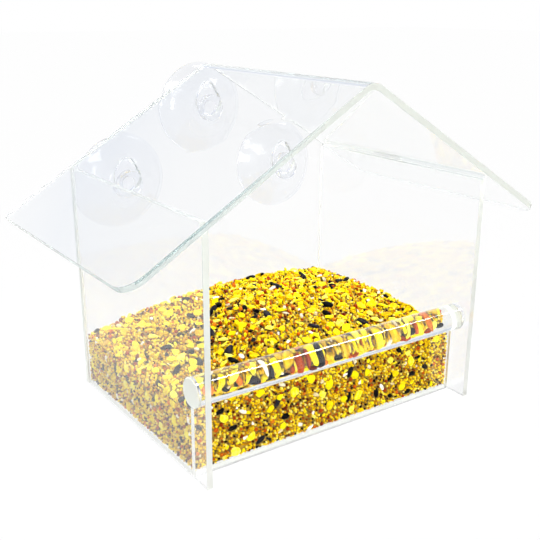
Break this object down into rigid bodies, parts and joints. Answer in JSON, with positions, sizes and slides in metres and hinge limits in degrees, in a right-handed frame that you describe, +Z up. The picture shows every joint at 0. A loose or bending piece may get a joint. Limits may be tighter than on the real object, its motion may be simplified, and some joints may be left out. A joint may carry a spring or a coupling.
{
  "type": "bird feeder",
  "caption": "House-shaped window bird feeder of clear acrylic sheet with a bent roof, a tray of seed behind a low lip, a round perch and suction cups that slide in keyholes.",
  "frame": {"origin": "middle of the bottom of the whole part, on the surface it stands on", "axes": "+X to the right seen from the open front, +Y towards the window pane, +Z up"},
  "size_m": [0.24, 0.1482, 0.1721],
  "materials": {
    "clear_acrylic": "clear cast sheet and rod, polished faces, faint green cut edges",
    "clear_pvc": "clear soft moulded PVC",
    "seed_mix": "loose mixed bird seed: millet, cracked corn, sunflower, milo and pale chips"
  },
  "bodies": {
    "house": {"left_side_panel": "clear_acrylic", "right_side_panel": "clear_acrylic", "back_panel": "clear_acrylic", "floor_panel": "clear_acrylic", "front_lip": "clear_acrylic", "roof_sheet": "clear_acrylic", "perch_rod": "clear_acrylic", "seed_fill": "seed_mix"},
    "left_cup": {"suction_cup_left": "clear_pvc"},
    "right_cup": {"suction_cup_right": "clear_pvc"},
    "top_cup": {"suction_cup_top": "clear_pvc"}
  },
  "joints": [
    {"name": "left_cup_slide", "type": "slide", "parent": "house", "child": "left_cup", "axis": [0, 0, 1], "range_m": [0, 0.0095]},
    {"name": "right_cup_slide", "type": "slide", "parent": "house", "child": "right_cup", "axis": [0, 0, 1], "range_m": [0, 0.0095]},
    {"name": "top_cup_slide", "type": "slide", "parent": "house", "child": "top_cup", "axis": [0, 0, 1], "range_m": [0, 0.0095]}
  ]
}
